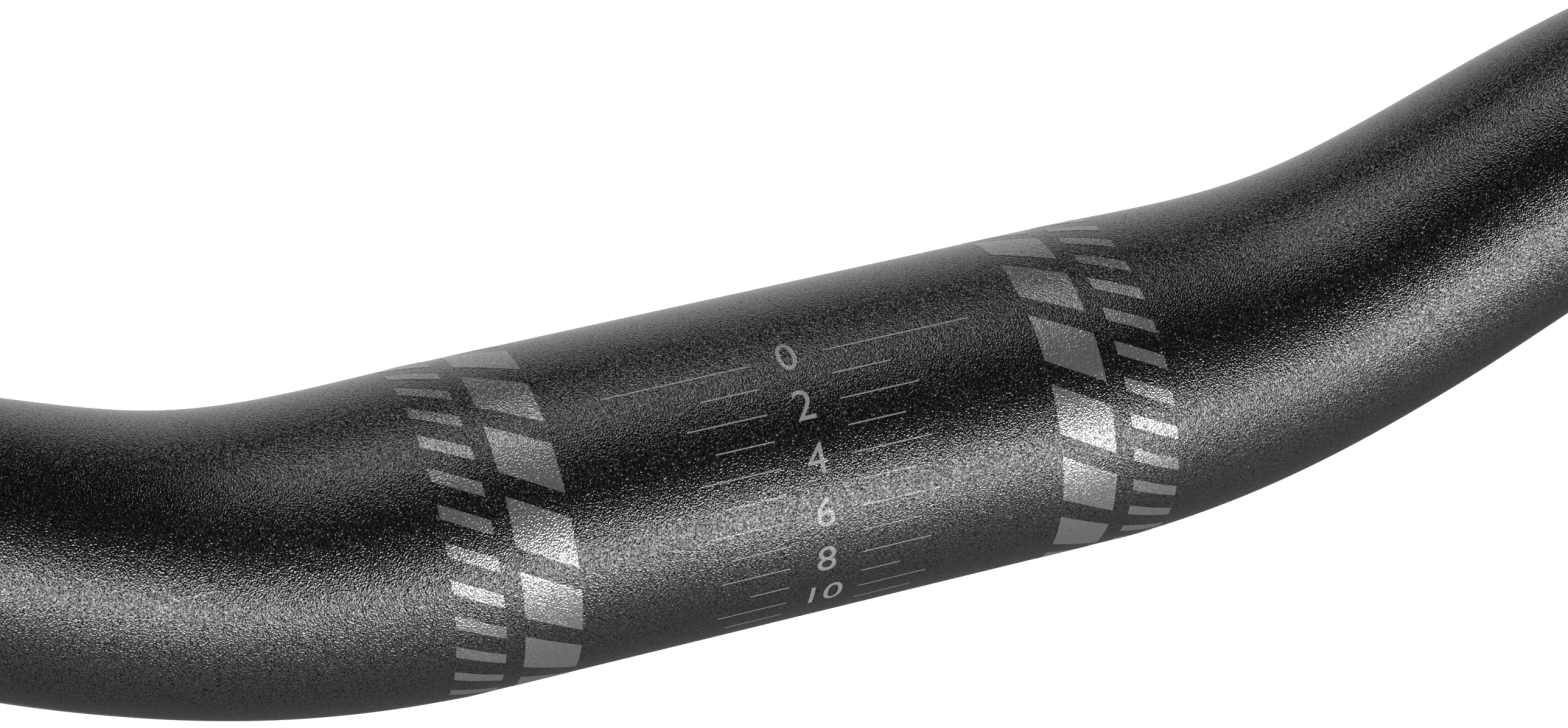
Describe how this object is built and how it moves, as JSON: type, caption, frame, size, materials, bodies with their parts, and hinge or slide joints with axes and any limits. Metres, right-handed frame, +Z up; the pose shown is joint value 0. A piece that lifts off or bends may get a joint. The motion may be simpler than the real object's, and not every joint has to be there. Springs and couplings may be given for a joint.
{
  "type": "riser handlebar",
  "caption": "Bicycle riser handlebar: a black tapered tube that rises and sweeps back in a smooth bend from a thick clamp section to slim open grips.",
  "frame": {"origin": "middle of the stem clamp section, on its axis", "axes": "+X along the clamp to the rider's right, +Y forwards, +Z upwards; the arms rise towards +Z and sweep back towards -Y"},
  "size_m": [0.7838, 0.0764, 0.0788],
  "materials": {
    "black_finish": "satin",
    "grey_print": "satin"
  },
  "bodies": {
    "root": {"handlebar": "black_finish"}
  },
  "joints": []
}
